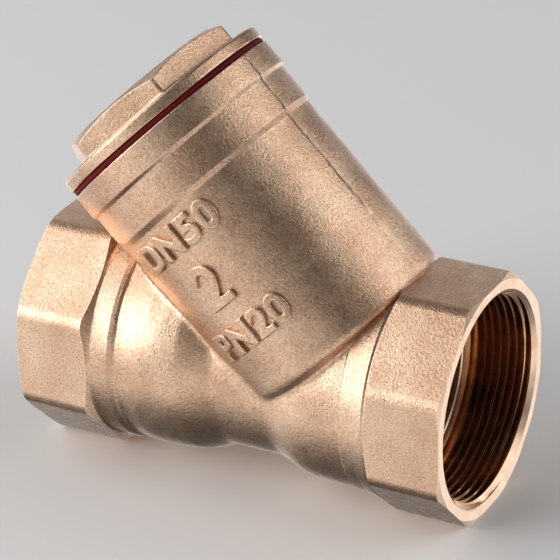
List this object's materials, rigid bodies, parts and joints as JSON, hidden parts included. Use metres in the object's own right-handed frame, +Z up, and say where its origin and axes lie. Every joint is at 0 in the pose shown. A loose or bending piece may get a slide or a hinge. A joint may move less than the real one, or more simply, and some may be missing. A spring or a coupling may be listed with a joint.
{
  "type": "basket strainer",
  "caption": "Y-pattern brass pipe strainer with octagonal female threaded ends and a slanted branch, closed by a hexagon-headed cap over a perforated basket.",
  "frame": {"origin": "midway between the two pipe ends, on the surface that the body's bottom flats stand on, under the run's axis", "axes": "+X along the run towards the inlet socket, +Y towards the back, +Z up; the branch leans from the run towards -X and +Z at 45 degrees"},
  "size_m": [0.128, 0.0664, 0.1227],
  "materials": {
    "forged_brass": "forged and shot-blasted, fine grain, machined bores and threads",
    "red_fibre": "vulcanised fibre, matt dark red",
    "perforated_stainless": "rolled perforated sheet, bright",
    "stainless_band": "plain rolled strip, spot-welded"
  },
  "bodies": {
    "housing": {"body": "forged_brass"},
    "basket": {"basket_screen": "perforated_stainless", "basket_lower_rim": "stainless_band", "basket_upper_rim": "stainless_band"},
    "gasket_ring": {"gasket": "red_fibre"},
    "screw_cap": {"cap": "forged_brass"}
  },
  "joints": [
    {"name": "basket_lift", "type": "slide", "parent": "housing", "child": "basket", "axis": [-0.7071, 0, 0.7071], "range_m": [0, 0.095]},
    {"name": "cap_advance", "type": "slide", "parent": "basket", "child": "gasket_ring", "axis": [-0.7071, 0, 0.7071], "range_m": [0, 0.012]},
    {"name": "cap_turn", "type": "hinge", "parent": "gasket_ring", "child": "screw_cap", "pos_m": [0.03246, 0, 0.0325], "axis": [-0.7071, 0, 0.7071], "range_deg": [0, 2160]}
  ],
  "couplings": [
    {"joint": "cap_advance", "follows": "cap_turn", "m_per_rad": 0.00031831}
  ]
}
